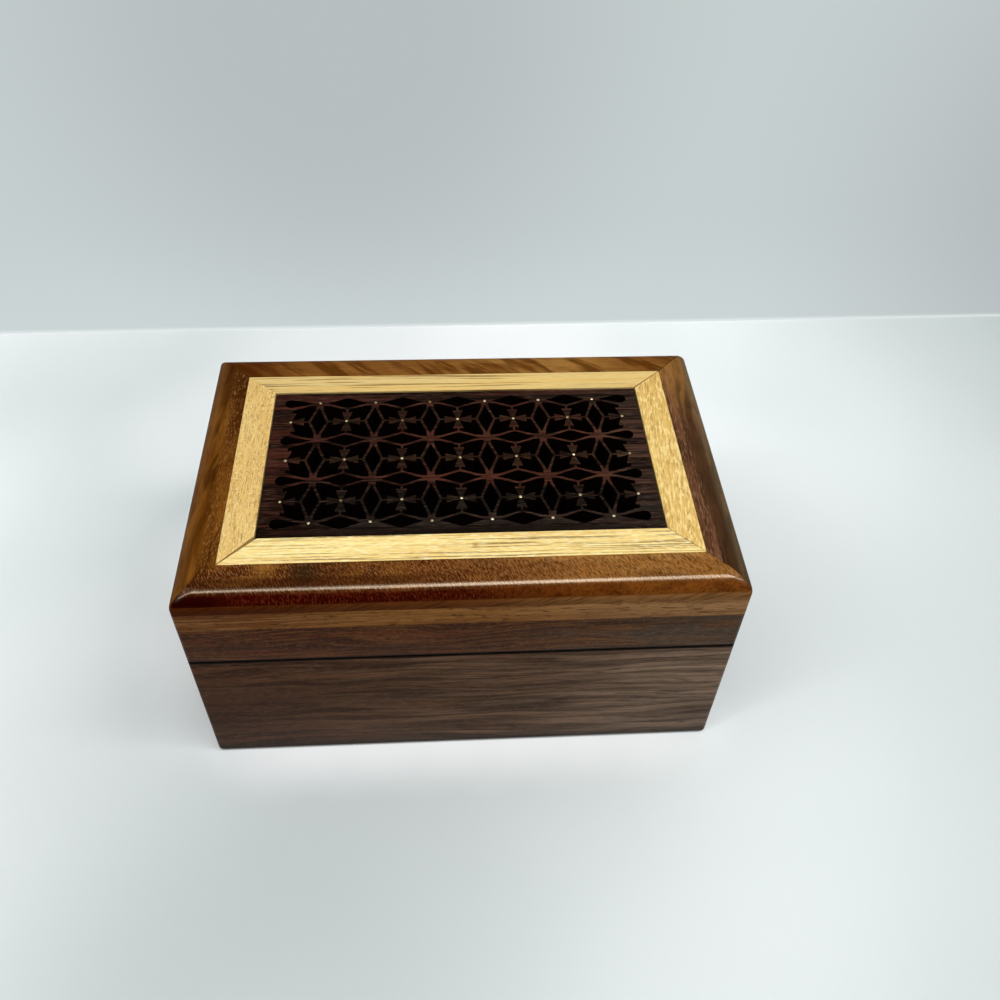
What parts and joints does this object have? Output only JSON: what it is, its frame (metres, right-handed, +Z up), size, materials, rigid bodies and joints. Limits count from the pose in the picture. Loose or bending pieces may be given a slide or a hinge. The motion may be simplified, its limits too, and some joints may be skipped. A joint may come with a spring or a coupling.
{
  "type": "trinket box",
  "caption": "Rectangular walnut trinket box with a hinged lid: rounded figured frame, pale maple border and a pierced dark fretwork panel set with brass pins.",
  "frame": {"origin": "middle of the footprint, on the surface that the box stands on", "axes": "+X along the long side to the right, +Y to the hinged back, +Z up"},
  "size_m": [0.178, 0.115, 0.0895],
  "materials": {
    "body_walnut": "satin oil, straight grain",
    "rim_walnut": "satin oil, wavy grain",
    "board_walnut": "satin oil, open pores",
    "figured_walnut": "polished, figured",
    "maple": "satin",
    "rosewood": "satin",
    "bottom_ply": "sealed",
    "black_felt": "matt felt",
    "brass": "polished"
  },
  "bodies": {
    "box": {"body_front": "body_walnut", "body_back": "body_walnut", "body_left": "body_walnut", "body_right": "body_walnut", "body_bottom_panel": "bottom_ply", "body_floor_felt": "black_felt", "hinge_left_body_leaf": "brass", "hinge_left_body_screw_1": "brass", "hinge_left_body_screw_2": "brass", "hinge_left_pin": "brass", "hinge_right_body_leaf": "brass", "hinge_right_body_screw_1": "brass", "hinge_right_body_screw_2": "brass", "hinge_right_pin": "brass"},
    "lid": {"lid_rim_front": "rim_walnut", "lid_rim_back": "rim_walnut", "lid_rim_left": "rim_walnut", "lid_rim_right": "rim_walnut", "lid_board": "board_walnut", "top_frame_front": "figured_walnut", "top_frame_back": "figured_walnut", "top_frame_left": "figured_walnut", "top_frame_right": "figured_walnut", "maple_frame_front": "maple", "maple_frame_back": "maple", "maple_frame_left": "maple", "maple_frame_right": "maple", "fret_backing_felt": "black_felt", "fret_panel": "rosewood", "hinge_left_lid_leaf": "brass", "hinge_left_lid_screw_1": "brass", "hinge_left_lid_screw_2": "brass", "hinge_right_lid_leaf": "brass", "hinge_right_lid_screw_1": "brass", "hinge_right_lid_screw_2": "brass"}
  },
  "joints": [
    {"name": "lid_hinge", "type": "hinge", "parent": "box", "child": "lid", "pos_m": [0, 0.0545, 0.0567], "axis": [-1, 0, 0], "range_deg": [0, 95]}
  ]
}
